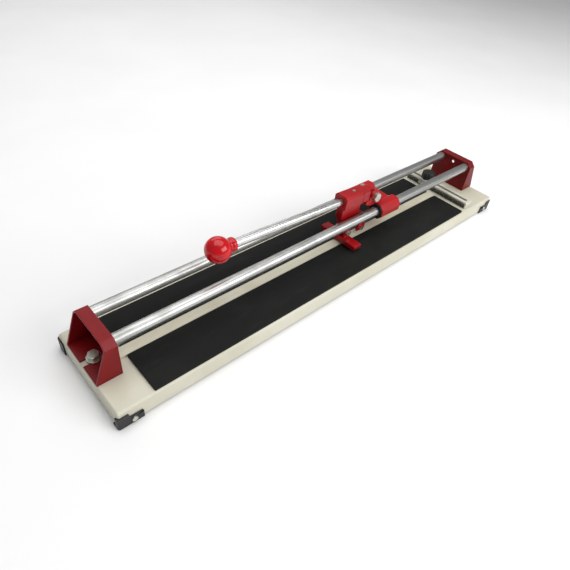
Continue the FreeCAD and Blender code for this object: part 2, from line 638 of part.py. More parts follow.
def carriage_body():
    bridge = block((CARRIAGE_NEAR + BRIDGE_START, CARRIAGE_NEAR + SLEEVE_LENGTH), (FRONT_RAIL_Y, REAR_RAIL_Y),
                   (RAIL_Z - BRIDGE_BELOW, RAIL_Z + BRIDGE_ABOVE))
    front_lug = lug(-LUG_OUTER, -LUG_INNER)
    rear_lug = lug(LUG_INNER, LUG_OUTER)
    body = fuse(sleeve(FRONT_RAIL_Y), sleeve(REAR_RAIL_Y), bridge, front_lug, rear_lug)
    bores = [rod(SLEEVE_BORE_RADIUS, V(CARRIAGE_NEAR - PAST, y, RAIL_Z), X_AXIS, SLEEVE_LENGTH + 2 * PAST)
             for y in (FRONT_RAIL_Y, REAR_RAIL_Y)]
    cross = rod(M8["r"] + RUNNING, PIVOT - Y_AXIS * (LUG_OUTER + PAST), Y_AXIS, 2 * (LUG_OUTER + PAST))
    neck_room = along_handle(block((-SOCKET_START - PAST, -NECK_START + PAST), (-SOCKET_SIZE, SOCKET_SIZE),
                                   (-NECK_HALF_HEIGHT - NECK_REST_GAP, SOCKET_SIZE)))
    return cut(body, cross, neck_room, *bores)


def bush(rail_y, face_x, inward):
    """A flanged bush; inward is +1 when its body runs towards +X."""
    axis = X_AXIS * inward
    start = V(face_x, rail_y, RAIL_Z)
    body = rod(SLEEVE_BORE_RADIUS - SEATED, start, axis, BUSH_LENGTH)
    flange = rod(BUSH_FLANGE_RADIUS, start - axis * BUSH_FLANGE_THICKNESS, axis, BUSH_FLANGE_THICKNESS)
    bore = rod(RAIL_RADIUS + SLIDING, start - axis * (BUSH_FLANGE_THICKNESS + PAST), axis,
               BUSH_LENGTH + BUSH_FLANGE_THICKNESS + 2 * PAST)
    return cut(fuse(body, flange), bore)


def pivot_bolt():
    return bolt(M8, PIVOT - Y_AXIS * LUG_OUTER, Y_AXIS, 2 * LUG_OUTER + M8["nut"] + PAST)


def pivot_nut():
    return nut(M8, PIVOT + Y_AXIS * LUG_OUTER, Y_AXIS)


# ---------------------------------------------------------------- lever
def along_handle(shape):
    """Puts a piece drawn along -X from the pivot onto the tilted handle line."""
    placed = shape.copy()
    placed.rotate(ORIGIN, Y_AXIS, HANDLE_TILT)
    placed.translate(PIVOT + Z_AXIS * HANDLE_ABOVE_PIVOT)
    return placed


def socket_block():
    """The eight-sided block that holds the handle tube, and the neck back towards the hub."""
    half, corner = SOCKET_SIZE / 2, SOCKET_CHAMFER
    low, high = -half + corner, half - corner
    outline = [(-half, low), (low, -half), (high, -half), (half, low),
               (half, high), (high, half), (low, half), (-half, high)]
    head = prism_yz(outline, -SOCKET_END, -SOCKET_START)
    neck = block((-SOCKET_START, -NECK_START), (-NECK_WIDTH / 2, NECK_WIDTH / 2),
                 (-NECK_HALF_HEIGHT, NECK_HALF_HEIGHT))
    rib = block((-SOCKET_START, 0), (-ARM_SIDE, ARM_SIDE), (-NECK_HALF_HEIGHT, NECK_HALF_HEIGHT))
    return along_handle(fuse(head, neck, rib))


def arm_plate():
    """The flat plate that reaches down between the rails to the foot and the wheel."""
    near_x, far_x = WHEEL_X - HOLDER_LENGTH / 2, WHEEL_X + HOLDER_LENGTH / 2
    seat_top = SHOULDER_Z + HOLDER_SEAT_HEIGHT
    r = ARM_TIP_RADIUS
    outline = [(ARM_NEAR, PIVOT_Z), (ARM_NEAR, RAIL_Z + RAIL_RADIUS), (HINGE_X - r, HINGE_Z),
               (HINGE_X + r, HINGE_Z), (ARM_CROTCH_X, ARM_CROTCH_Z), (near_x, SHOULDER_Z),
               (far_x, SHOULDER_Z), (far_x, seat_top - r), (far_x - r, seat_top),
               (ARM_FAR + r, seat_top), (ARM_FAR, RAIL_Z), (ARM_FAR, PIVOT_Z)]
    return prism_xz(outline, -ARM_SIDE, ARM_SIDE)


def lever_arm():
    """Hub, tube socket and arm, cast in one."""
    hub = disc_xz(PIVOT_X, PIVOT_Z, HUB_RADIUS, -ARM_SIDE, ARM_SIDE)
    tip = disc_xz(HINGE_X, HINGE_Z, ARM_TIP_RADIUS, -ARM_SIDE, ARM_SIDE)
    body = fuse(socket_block(), hub, arm_plate(), tip)
    through = ARM_SIDE + PAST
    cross = disc_xz(PIVOT_X, PIVOT_Z, M8["r"] + RUNNING, -through, through)
    hinge = disc_xz(HINGE_X, HINGE_Z, M5["r"] + RUNNING, -through, through)
    holder = disc_xz(WHEEL_X, HOLDER_BOLT_Z, M5["r"] + RUNNING, -through, through)
    half_tongue = TONGUE_THICKNESS / 2 + SEATED
    slot = block((WHEEL_X - TONGUE_LENGTH / 2 - SEATED, WHEEL_X + TONGUE_LENGTH / 2 + SEATED),
                 (-half_tongue, half_tongue), (SHOULDER_Z - PAST, SHOULDER_Z + TONGUE_HEIGHT + LOOSE))
    mouth = V(-SOCKET_END - PAST, 0, 0)
    tube_bore = along_handle(rod(TUBE_RADIUS + SEATED, mouth, X_AXIS, SOCKET_DEPTH + PAST))
    screw_start = V(-SOCKET_SCREW_AT, 0, TUBE_RADIUS / 2)
    screw_bore = along_handle(rod(SOCKET_SCREW_RADIUS + SEATED, screw_start, Z_AXIS, SOCKET_SIZE))
    return cut(body, cross, hinge, holder, slot, tube_bore, screw_bore)


def socket_screw():
    height = SOCKET_SIZE / 2 - TUBE_RADIUS
    start = V(-SOCKET_SCREW_AT, 0, TUBE_RADIUS + SEATED)
    return along_handle(rod(SOCKET_SCREW_RADIUS, start, Z_AXIS, height))


def tube_ends():
    """The handle tube's ends, as distances from the pivot."""
    return SOCKET_END - SOCKET_DEPTH + SEATED, KNOB_AT - KNOB_COLLAR_LENGTH + KNOB_SOCKET_DEPTH - SEATED


def handle_tube():
    near_pivot, near_knob = tube_ends()
    return along_handle(tube(TUBE_RADIUS, TUBE_RADIUS - TUBE_WALL, V(-near_knob, 0, 0), X_AXIS,
                             near_knob - near_pivot))


def handle_knob():
    """A ball with a waisted collar that the tube runs into."""
    ball = Part.makeSphere(KNOB_RADIUS, V(-KNOB_AT, 0, 0))
    collar_end = KNOB_AT - KNOB_COLLAR_LENGTH
    collar = rod(KNOB_COLLAR_RADIUS, V(-KNOB_AT, 0, 0), X_AXIS, KNOB_COLLAR_LENGTH)
    collar = collar.makeFillet(KNOB_COLLAR_ROUND, edges_at(collar, lambda p: near(p.x, -collar_end)))
    body = fuse(ball, collar)
    socket_floor = -collar_end - KNOB_SOCKET_DEPTH
    socket = rod(TUBE_RADIUS + SEATED, V(socket_floor, 0, 0), X_AXIS, KNOB_SOCKET_DEPTH + PAST)
    stud = rod(KNOB_STUD_RADIUS + SEATED, V(socket_floor - KNOB_STUD_LENGTH, 0, 0), X_AXIS,
               KNOB_STUD_LENGTH + PAST)
    return along_handle(cut(body, socket, stud))


def knob_insert():
    """The threaded plug in the tube's end that the knob screws onto."""
    _, near_knob = tube_ends()
    plug = rod(TUBE_RADIUS - TUBE_WALL - SEATED, V(-near_knob, 0, 0), X_AXIS, KNOB_PLUG_LENGTH)
    stud = rod(KNOB_STUD_RADIUS, V(-near_knob - KNOB_STUD_LENGTH + SEATED, 0, 0), X_AXIS, KNOB_STUD_LENGTH)
    return along_handle(fuse(plug, stud))


# ---------------------------------------------------------------- breaking foot
def ear(y_low):
    y_high = y_low + EAR_THICKNESS
    plate = prism_xz([(HINGE_X - EAR_FOOT_HALF, BAR_TOP - PAST), (HINGE_X + EAR_RADIUS, BAR_TOP - PAST),
                      (HINGE_X + EAR_RADIUS, HINGE_Z), (HINGE_X - EAR_RADIUS, HINGE_Z)], y_low, y_high)
    return plate.fuse(disc_xz(HINGE_X, HINGE_Z, EAR_RADIUS, y_low, y_high))


def breaking_foot():
    """A flat bar across the ridge, with two ears that straddle the arm's tip."""
    half = BAR_LENGTH / 2
    bar = block((BAR_START, BAR_START + BAR_DEPTH), (-half, half), (BAR_BOTTOM, BAR_TOP))
    lower_ends = edges_at(bar, lambda p: near(abs(p.y), half) and near(p.z, BAR_BOTTOM))
    bar = bar.makeChamfer(BAR_END_CHAMFER, lower_ends)
    upper = edges_at(bar, lambda p: near(p.z, BAR_TOP) and near(p.x, BAR_START))
    bar = bar.makeFillet(BAR_EDGE_RADIUS, upper)
    body = fuse(bar, ear(-FOOT_SPAN), ear(FOOT_SPAN - EAR_THICKNESS))
    return cut(body, disc_xz(HINGE_X, HINGE_Z, M5["r"] + RUNNING, -half, half))


def foot_hinge_bolt():
    return bolt(M5, V(HINGE_X, -FOOT_SPAN, HINGE_Z), Y_AXIS, 2 * FOOT_SPAN + M5["nut"] + PAST)


def foot_hinge_nut():
    return nut(M5, V(HINGE_X, FOOT_SPAN, HINGE_Z), Y_AXIS)


# ---------------------------------------------------------------- scoring wheel
def wheel_holder():
    """A fork round the wheel, with a tongue that is bolted into the arm."""
    half = HOLDER_LENGTH / 2
    low = WHEEL_Z - HOLDER_DROP
    fork = block((WHEEL_X - half, WHEEL_X + half), (-ARM_SIDE, ARM_SIDE), (low, SHOULDER_Z))
    lower = edges_at(fork, lambda p: near(p.z, low) and near(abs(p.y), ARM_SIDE))
    fork = fork.makeFillet(HOLDER_EDGE_RADIUS, lower)
    tongue = block((WHEEL_X - TONGUE_LENGTH / 2, WHEEL_X + TONGUE_LENGTH / 2),
                   (-TONGUE_THICKNESS / 2, TONGUE_THICKNESS / 2), (SHOULDER_Z, SHOULDER_Z + TONGUE_HEIGHT))
    slot = block((WHEEL_X - half - PAST, WHEEL_X + half + PAST), (-WHEEL_SLOT, WHEEL_SLOT),
                 (low - PAST, WHEEL_Z + WHEEL_RADIUS + WHEEL_TOP_ROOM))
    axle = disc_xz(WHEEL_X, WHEEL_Z, AXLE_RADIUS + RUNNING, -BASE_WIDTH, BASE_WIDTH)
    bolt_hole = disc_xz(WHEEL_X, HOLDER_BOLT_Z, M5["r"] + RUNNING, -BASE_WIDTH, BASE_WIDTH)
    return cut(fuse(fork, tongue), slot, axle, bolt_hole)


def holder_bolt():
    """Enters from the rear and ends flush with the arm's front face."""
    return bolt(M5, V(WHEEL_X, ARM_SIDE, HOLDER_BOLT_Z), Y_AXIS * -1, ARM_THICKNESS)


def wheel_axle():
    """A pin with a domed head in front and a small riveted end behind."""
    head = rod(AXLE_HEAD_RADIUS, V(WHEEL_X, -ARM_SIDE - AXLE_HEAD_HEIGHT, WHEEL_Z), Y_AXIS, AXLE_HEAD_HEIGHT)
    shank = rod(AXLE_RADIUS, V(WHEEL_X, -ARM_SIDE, WHEEL_Z), Y_AXIS, ARM_THICKNESS)
    rivet = rod(AXLE_HEAD_RADIUS, V(WHEEL_X, ARM_SIDE, WHEEL_Z), Y_AXIS, AXLE_RIVET_HEIGHT)
    return fuse(head, shank, rivet)


def scoring_wheel():
    """A hardened disc with its rim bevelled from both sides to a cutting edge."""
    half, edge = WHEEL_WIDTH / 2, WHEEL_EDGE / 2
    shoulder = WHEEL_RADIUS - WHEEL_BEVEL
    bore = AXLE_RADIUS + RUNNING
    profile = [(bore, -half), (shoulder, -half), (WHEEL_RADIUS, -edge), (WHEEL_RADIUS, edge),
               (shoulder, half), (bore, half)]
    corners = [V(WHEEL_X + radius, y, WHEEL_Z) for radius, y in profile]
    face = Part.Face(Part.makePolygon(corners + corners[:1]))
    return face.revolve(V(WHEEL_X, 0, WHEEL_Z), Y_AXIS, 360)


# ---------------------------------------------------------------- all the pieces
def all_pieces():
    front, rear = near_front_foot(FRONT_FOOT_WRAP), flip_y(near_front_foot(REAR_FOOT_WRAP))
    sleeve_far = CARRIAGE_NEAR + SLEEVE_LENGTH
    return {
        "base_plate": base_plate(),
        "breaking_ridge": breaking_ridge(),
        "front_pad": front_pad(),
        "rear_pad": rear_pad(),
        "foot_near_front": front,
        "foot_near_rear": rear,
        "foot_far_front": flip_x(front),
        "foot_far_rear": flip_x(rear),
        "foot_screws": group(corner_copies(near_front_foot_screw())),
        "near_bracket": flip_x(far_bracket()),
        "far_bracket": far_bracket(),
        "bracket_bolts": group([far_hold_down_bolt(), flip_x(far_hold_down_bolt())]),
        "bracket_nuts": group([far_hold_down_nut(), flip_x(far_hold_down_nut())]),
        "front_rail": rail(FRONT_RAIL_Y),
        "rear_rail": rail(REAR_RAIL_Y),
        "rail_plugs": at_both_rails_and_ends(far_rail_plug),
        "rail_washers": at_both_rails_and_ends(far_rail_washer),
        "rail_bolts": at_both_rails_and_ends(far_rail_bolt),
        "fence_bar": fence_bar(),
        "fence_screws": fence_screws(),
        "ruler_strip": ruler_strip(),
        "side_stop": side_stop(),
        "stop_tee_nut": stop_tee_nut(),
        "stop_stud": stop_stud(),
        "stop_knob": stop_knob(),
        "carriage_body": carriage_body(),
        "bush_front_near": bush(FRONT_RAIL_Y, CARRIAGE_NEAR, 1),
        "bush_front_far": bush(FRONT_RAIL_Y, sleeve_far, -1),
        "bush_rear_near": bush(REAR_RAIL_Y, CARRIAGE_NEAR, 1),
        "bush_rear_far": bush(REAR_RAIL_Y, sleeve_far, -1),
        "pivot_bolt": pivot_bolt(),
        "pivot_nut": pivot_nut(),
        "lever_arm": lever_arm(),
        "handle_tube": handle_tube(),
        "handle_knob": handle_knob(),
        "knob_insert": knob_insert(),
        "socket_screw": socket_screw(),
        "breaking_foot": breaking_foot(),
        "foot_hinge_bolt": foot_hinge_bolt(),
        "foot_hinge_nut": foot_hinge_nut(),
        "wheel_holder": wheel_holder(),
        "holder_bolt": holder_bolt(),
        "wheel_axle": wheel_axle(),
        "scoring_wheel": scoring_wheel(),
    }


def main():
    os.makedirs("parts", exist_ok=True)
    for name, shape in all_pieces().items():
        shape.exportStep(os.path.join("parts", name + ".step"))
        sound = all(solid.isValid() for solid in shape.Solids)
        print(f"{name}: {len(shape.Solids)} solid(s), {shape.Volume / 1000:.2f} cm3, sound {sound}")


main()
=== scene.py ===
# %% [markdown]
# # A manual rail tile cutter
# The cutter is a pressed steel pan with two rubber pads, a ridge to snap the tile over and two
# chromed rails. A cast carriage slides on the rails and holds a lever with a scoring wheel and a
# breaking foot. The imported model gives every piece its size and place. Here the pieces get rounded
# edges, small details and finishes, and then light and a camera.

# %% Load the model that everything is fitted to
import math
import bpy
from mathutils import Matrix, Vector


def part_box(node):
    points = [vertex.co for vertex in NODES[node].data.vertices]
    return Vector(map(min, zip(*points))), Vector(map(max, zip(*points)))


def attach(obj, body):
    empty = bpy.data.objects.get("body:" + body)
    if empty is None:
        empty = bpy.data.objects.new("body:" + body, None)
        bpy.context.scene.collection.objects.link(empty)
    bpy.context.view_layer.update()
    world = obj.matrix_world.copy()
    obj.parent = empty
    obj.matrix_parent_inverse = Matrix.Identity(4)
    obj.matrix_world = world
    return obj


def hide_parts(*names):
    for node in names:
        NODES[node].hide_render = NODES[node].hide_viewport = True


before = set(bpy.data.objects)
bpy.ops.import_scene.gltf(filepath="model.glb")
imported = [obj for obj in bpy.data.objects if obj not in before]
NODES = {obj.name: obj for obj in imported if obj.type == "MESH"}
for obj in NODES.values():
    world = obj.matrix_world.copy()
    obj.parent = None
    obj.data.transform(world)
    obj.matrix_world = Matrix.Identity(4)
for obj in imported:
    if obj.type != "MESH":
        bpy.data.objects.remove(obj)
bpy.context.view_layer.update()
MM = 0.001


# %% [markdown]
# ## Shader arithmetic
# A finish is a small program: noise here, a mask there, one colour mixed over another. Wrapping a
# socket in a class lets that be written as plain arithmetic, and one method makes any other node.

# %% A socket that arithmetic works on
class Wire:
    """An output socket of a material's node tree."""
    tree = None

    def __init__(self, socket):
        self.socket = socket

    @classmethod
    def node(cls, kind, settings=None, values=None, out=0):
        """Any node: its settings first, then the values or wires of its inputs."""
        made = cls.tree.nodes.new(kind)
        for name, value in (settings or {}).items():
            if name == "stops":
                made.color_ramp.elements[0].position, made.color_ramp.elements[0].color = value[0]
                made.color_ramp.elements[1].position, made.color_ramp.elements[1].color = value[1]
            else:
                setattr(made, name, value)
        for key, value in (values or {}).items():
            if isinstance(value, Wire):
                cls.tree.links.new(value.socket, made.inputs[key])
            else:
                made.inputs[key].default_value = value
        return cls(made.outputs[out])

    def maths(self, operation, other=0.0, swapped=False):
        pair = (other, self) if swapped else (self, other)
        return Wire.node("ShaderNodeMath", {"operation": operation}, {0: pair[0], 1: pair[1]})

    def __add__(self, other): return self.maths("ADD", other)
    def __radd__(self, other): return self.maths("ADD", other)
    def __sub__(self, other): return self.maths("SUBTRACT", other)
    def __rsub__(self, other): return self.maths("SUBTRACT", other, swapped=True)
    def __mul__(self, other): return self.maths("MULTIPLY", other)
    def __rmul__(self, other): return self.maths("MULTIPLY", other)
    def __gt__(self, other): return self.maths("GREATER_THAN", other)


def ramp(value, low, high):
    """0 below low, 1 above high, and smooth between them."""
    return Wire.node("ShaderNodeMapRange", {"interpolation_type": "SMOOTHSTEP"},
                     {"Value": value, "From Min": low, "From Max": high})


def blend(amount, first, second):
    """Mixes two colours, each a wire or an (r, g, b)."""
    ends = [c if isinstance(c, Wire) else (*c, 1.0) for c in (first, second)]
    return Wire.node("ShaderNodeMix", {"data_type": "RGBA"},
                     {0: amount, 6: ends[0], 7: ends[1]}, out=2)


def place(scale=(1, 1, 1)):
    """Where a point is on the object, in metres, stretched by a scale."""
    where = Wire.node("ShaderNodeTexCoord", out="Object")
    return Wire.node("ShaderNodeMapping", {}, {"Vector": where, "Scale": scale})


def noise(per_metre, detail=3.0, stretch=(1, 1, 1), roughness=0.55):
    return Wire.node("ShaderNodeTexNoise", {}, {"Vector": place(stretch), "Scale": per_metre,
                                                "Detail": detail, "Roughness": roughness})


def bump(height, distance, strength=1.0, over=None):
    values = {"Height": height, "Distance": distance, "Strength": strength}
    if over is not None:
        values["Normal"] = over
    return Wire.node("ShaderNodeBump", {}, values)


def finish(name, colour, roughness, normal=None, metallic=0.0, coat=0.0, coat_roughness=0.05,
           specular=0.5):
    """A new material whose shader takes plain numbers and wires."""
    shader = Wire.tree.nodes["Principled BSDF"]
    for key, value in (("Base Color", colour), ("Roughness", roughness), ("Metallic", metallic),
                       ("Coat Weight", coat), ("Coat Roughness", coat_roughness),
                       ("Specular IOR Level", specular), ("Normal", normal)):
        if isinstance(value, Wire):
            Wire.tree.links.new(value.socket, shader.inputs[key])
        elif value is not None:
            shader.inputs[key].default_value = value
    print("finish:", name, len(Wire.tree.nodes), "nodes")
    return Wire.material


def start(name):
    """Opens a new material; the wires made after this go into it."""
    Wire.material = bpy.data.materials.new(name)
    Wire.material.use_nodes = True
    Wire.tree = Wire.material.node_tree


def edge_wear(radius, low, high):
    """1 on outside edges: where a slightly rounded normal turns away from the true one."""
    rounded = Wire.node("ShaderNodeBevel", {"samples": 4}, {"Radius": radius})
    true = Wire.node("ShaderNodeNewGeometry", out="Normal")
    agree = Wire.node("ShaderNodeVectorMath", {"operation": "DOT_PRODUCT"},
                      {0: rounded, 1: true}, out="Value")
    return ramp(1.0 - agree, low, high)


# %% [markdown]
# ## Paint
# The base, the ridge and the fence are under cream enamel, and the castings and brackets are under
# wine-red enamel. Sprayed enamel has a faint orange-peel surface, uneven gloss, thin scratches from
# tiles and worn edges. One function makes them all, because only colour and amount differ.

# %% Enamel
def enamel(name, colour, darker, roughness, wear_colour, wear=0.5, coat=0.25, grain=1400,
           specular=0.5):
    start(name)
    cloud = noise(9, detail=4)
    speck = noise(260, detail=2)
    scratch = ramp(noise(60, detail=6, stretch=(1, 14, 14), roughness=0.7), 0.66, 0.70)
    worn = edge_wear(0.7 * MM, 0.02, 0.16) * ramp(noise(140, detail=5), 0.42, 0.60)
    tone = blend(ramp(cloud, 0.35, 0.68), colour, darker)
    tone = blend(ramp(speck, 0.66, 0.76) * 0.35, tone, darker)
    tone = blend(scratch * 0.22, tone, wear_colour)
    tone = blend(worn * wear, tone, wear_colour)
    gloss = roughness + ramp(cloud, 0.3, 0.7) * 0.12 + scratch * 0.15 + worn * 0.15
    skin = bump(noise(grain, detail=1), 0.03 * MM, 0.35)
    return finish(name, tone, gloss, bump(scratch, -0.02 * MM, 0.4, skin), coat=coat,
                  coat_roughness=0.12, specular=specular)


cream_paint = enamel("cream_enamel", (0.640, 0.615, 0.510), (0.570, 0.545, 0.430), 0.36,
                     (0.42, 0.39, 0.31), 0.30)
ridge_paint = enamel("ridge_enamel", (0.620, 0.590, 0.470), (0.500, 0.465, 0.345), 0.38,
                     (0.40, 0.37, 0.29), 0.75)
fence_paint = enamel("fence_enamel", (0.640, 0.625, 0.540), (0.540, 0.525, 0.440), 0.42,
                     (0.36, 0.34, 0.28), 0.40)
red_paint = enamel("casting_enamel", (0.430, 0.005, 0.009), (0.290, 0.003, 0.005), 0.27,
                   (0.46, 0.06, 0.06), 0.30, coat=0.10, grain=900, specular=0.30)
bracket_paint = enamel("bracket_enamel", (0.230, 0.003, 0.006), (0.150, 0.002, 0.004), 0.34,
                       (0.36, 0.04, 0.04), 0.25, coat=0.05, specular=0.22)


# %% [markdown]
# ## Metals
# The rails and the handle are chromed tube, drawn lengthwise, so fine marks and faint streaks run
# along them. Bolts are zinc plated, with a mottled, slightly green passivation. The wheel is
# ground steel.

# %% Chrome, zinc and steel
def metal(name, colour, dull, roughness, spread, stretch, mottle, deep=0.008, specks=0.2):
    start(name)
    lines = noise(420, detail=5, stretch=stretch, roughness=0.65)
    patch = noise(mottle, detail=4)
    speck = ramp(noise(900, detail=2), 0.66, 0.74)
    tone = blend(ramp(lines, 0.42, 0.66) * 0.5 + ramp(patch, 0.45, 0.70) * 0.4, colour, dull)
    tone = blend(speck * specks, tone, tuple(c * 0.35 for c in dull))
    gloss = roughness + ramp(lines, 0.35, 0.7) * spread + ramp(patch, 0.4, 0.7) * spread * 0.8
    return finish(name, tone, gloss, bump(lines, deep * MM, 0.5), metallic=1.0)


rail_chrome = metal("rail_chrome", (0.50, 0.50, 0.49), (0.26, 0.26, 0.25), 0.30, 0.12,
                    (0.02, 1, 1), 30, deep=0.004, specks=0.0)
handle_chrome = metal("handle_chrome", (0.70, 0.70, 0.69), (0.42, 0.42, 0.41), 0.22, 0.12,
                      (0.02, 1, 1), 45, deep=0.004, specks=0.0)
zinc = metal("zinc_plate", (0.66, 0.69, 0.61), (0.42, 0.46, 0.38), 0.28, 0.16,
             (1, 1, 1), 260, deep=0.02)
tool_steel = metal("ground_steel", (0.52, 0.53, 0.55), (0.30, 0.30, 0.31), 0.24, 0.14,
                   (1, 0.1, 1), 220)


# %% [markdown]
# ## Rubber and plastics
# The pads are black rubber sheet with a fine moulded grain and stone dust in it. The feet, bushes
# and clamp knob are moulded plastic with a spark-eroded texture. The ball handle is polished red
# plastic under a clear gloss.

# %% Rubber, black plastic and the red ball
def moulded(name, colour, dust, roughness, grain, depth, dusting, specular=0.35):
    start(name)
    cell = Wire.node("ShaderNodeTexVoronoi", {"feature": "F1"}, {"Vector": place(), "Scale": grain})
    cloud = noise(14, detail=5, roughness=0.6)
    smear = noise(70, detail=5, stretch=(0.35, 1, 1))
    dusty = ramp(cloud, 0.45, 0.72) * 0.6 + ramp(smear, 0.52, 0.72) * 0.5
    tone = blend(dusty * dusting, colour, dust)
    gloss = roughness + ramp(cloud, 0.35, 0.65) * 0.12
    skin = bump(cell, depth * MM, 0.6)
    return finish(name, tone, gloss, bump(noise(grain * 0.5), depth * MM, 0.4, skin), specular=specular)


pad_rubber = moulded("pad_rubber", (0.009, 0.010, 0.009), (0.040, 0.040, 0.037), 0.66,
                     1300, 0.06, 0.26, 0.14)
foot_plastic = moulded("foot_plastic", (0.018, 0.018, 0.019), (0.10, 0.10, 0.10), 0.42,
                       1800, 0.03, 0.30)
bush_plastic = moulded("bush_plastic", (0.010, 0.010, 0.011), (0.05, 0.05, 0.05), 0.38,
                       1800, 0.02, 0.20)
clamp_plastic = moulded("clamp_plastic", (0.028, 0.031, 0.030), (0.11, 0.12, 0.11), 0.40,
                        1600, 0.03, 0.30)

start("ball_plastic")
swirl = noise(38, detail=3)
rub = ramp(noise(300, detail=6, stretch=(1, 6, 6)), 0.64, 0.69)
ball_tone = blend(ramp(swirl, 0.35, 0.7), (0.60, 0.003, 0.010), (0.44, 0.002, 0.006))
ball_gloss = 0.16 + ramp(swirl, 0.4, 0.7) * 0.06 + rub * 0.12
ball_skin = bump(noise(700, detail=1), 0.01 * MM, 0.3)
ball_plastic = finish("ball_plastic", ball_tone, ball_gloss, ball_skin, coat=0.25,
                      coat_roughness=0.04, specular=0.30)


# %% [markdown]
# ## The ruler
# A printed strip on the fence's face helps to set the cut. Its marks are one millimetre apart, with
# longer ones at each 5 and 10. They are drawn by a shader, which needs no geometry: the fraction of
# the distance along the strip says where a mark is, and the height says how long it is.

# %% A millimetre scale along Y
MARK_HALF_WIDTH = 0.14   # millimetres
start("ruler_print")
low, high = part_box("ruler_strip")
apart = Wire.node("ShaderNodeSeparateXYZ", {}, {0: place()}, out="Y")
up = Wire.node("ShaderNodeSeparateXYZ", {}, {0: place()}, out="Z")
ink = 0.0
for step, reach in ((1, 0.35), (5, 0.55), (10, 0.80)):
    phase = (apart * (1000 / step) + 1000.5).maths("FRACT")
    nearness = 1.0 - (phase - 0.5).maths("ABSOLUTE")
    mark = nearness.maths("GREATER_THAN", 1.0 - MARK_HALF_WIDTH / step)
    ink = (mark * (up > high[2] - reach * (high[2] - low[2]))).maths("MAXIMUM", ink)
faded = 0.35 + ramp(noise(300, detail=4), 0.35, 0.6) * 0.5
ruler_print = finish("ruler_print", blend(ink * faded, (0.022, 0.021, 0.017), (0.62, 0.60, 0.52)),
                     0.38 + ramp(noise(40), 0.3, 0.7) * 0.2, bump(ink, 0.01 * MM, 0.3))


# %% [markdown]
# ## Helpers for modelling
# An operator works on whatever is selected, so each step starts from an empty selection and selects
# only the piece it works on. A finished piece keeps its object at the origin.

# %% Selecting, entering edit mode and closing a piece
def only(thing):
    bpy.ops.object.select_all(action="DESELECT")
    thing.select_set(True)
    bpy.context.view_layer.objects.active = thing


def edit(on=True):
    bpy.ops.object.mode_set(mode="EDIT" if on else "OBJECT")


def closed(thing, name, body, material, smooth=35):
    """Names a piece, applies its place, smooths it, gives it a finish and sets what it rides on."""
    only(thing)
    thing.name = thing.data.name = name
    bpy.ops.object.transform_apply(location=True, rotation=True, scale=True)
    edit()
    bpy.ops.mesh.select_all(action="SELECT")
    bpy.ops.mesh.normals_make_consistent(inside=False)
    edit(False)
    bpy.ops.object.shade_smooth_by_angle(angle=math.radians(smooth))
    thing.data.materials.clear()
    thing.data.materials.append(material)
    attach(thing, body)
    print("piece:", name, len(thing.data.polygons), "faces")
    return thing


def modified(thing, kind, **settings):
    """Adds a modifier, sets it and applies it."""
    only(thing)
    added = thing.modifiers.new(kind.lower(), kind)
    for key, value in settings.items():
        setattr(added, key, value)
    bpy.ops.object.modifier_apply(modifier=added.name)


# %% [markdown]
# ## Cast and folded pieces
# Sand castings and folded sheet have no knife edges. A copy of the fitted shape is merged into
# whole faces, and its sharp edges are bevelled: 0.5 mm to 1 mm on castings and brackets, 0.3 mm to
# 0.5 mm on the fence and the mouldings, and less on bolts. Weighted normals then keep the large
# faces looking flat.

# %% Round the edges of a copy
WELD_DISTANCE = 0.002 * MM
FLAT_ANGLE = math.radians(0.6)


def softened(node, body, width, material, segments=3, angle=28):
    source = NODES[node]
    only(source)
    piece = source.copy()
    piece.data = source.data.copy()
    bpy.context.collection.objects.link(piece)
    piece.parent = None
    piece.matrix_world = Matrix()
    only(piece)
    edit()
    bpy.ops.mesh.select_all(action="SELECT")
    bpy.ops.mesh.remove_doubles(threshold=WELD_DISTANCE)
    bpy.ops.mesh.customdata_custom_splitnormals_clear()
    bpy.ops.mesh.dissolve_limited(angle_limit=FLAT_ANGLE)
    edit(False)
    modified(piece, "BEVEL", width=width * MM, segments=segments, limit_method="ANGLE",
             angle_limit=math.radians(angle), use_clamp_overlap=False, miter_outer="MITER_ARC",
             harden_normals=False)
    closed(piece, node + "_soft", body, material)
    modified(piece, "WEIGHTED_NORMAL", keep_sharp=True)
    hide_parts(node)
    return piece


softened("carriage_body", "carriage", 1.0, red_paint)
softened("lever_arm", "lever", 0.9, red_paint)
softened("breaking_foot", "foot", 0.7, red_paint)
softened("wheel_holder", "lever", 0.5, red_paint)
for end in ("near", "far"):
    softened(end + "_bracket", "frame", 0.6, bracket_paint)
for corner in ("near_front", "near_rear", "far_front", "far_rear"):
    softened("foot_" + corner, "frame", 0.5, foot_plastic, segments=2)
softened("stop_knob", "stop_clamp", 0.5, clamp_plastic, segments=2)
softened("fence_bar", "frame", 0.3, fence_paint, segments=2)
softened("side_stop", "stop", 0.4, fence_paint, segments=2)
for bolts, body in (("bracket_bolts", "frame"), ("rail_bolts", "frame"), ("pivot_bolt", "carriage"),
                    ("pivot_nut", "carriage"), ("foot_hinge_bolt", "lever"), ("foot_hinge_nut", "lever"),
                    ("holder_bolt", "lever")):
    softened(bolts, body, 0.18, zinc, segments=2)


# %% [markdown]
# ## The ball handle
# The ball is moulded with its collar in one piece. A lathe makes such a shape from a profile, and
# so does this: a disc is extruded step by step along its axis and resized to each radius, first
# round the ball, then through the waist to the collar.

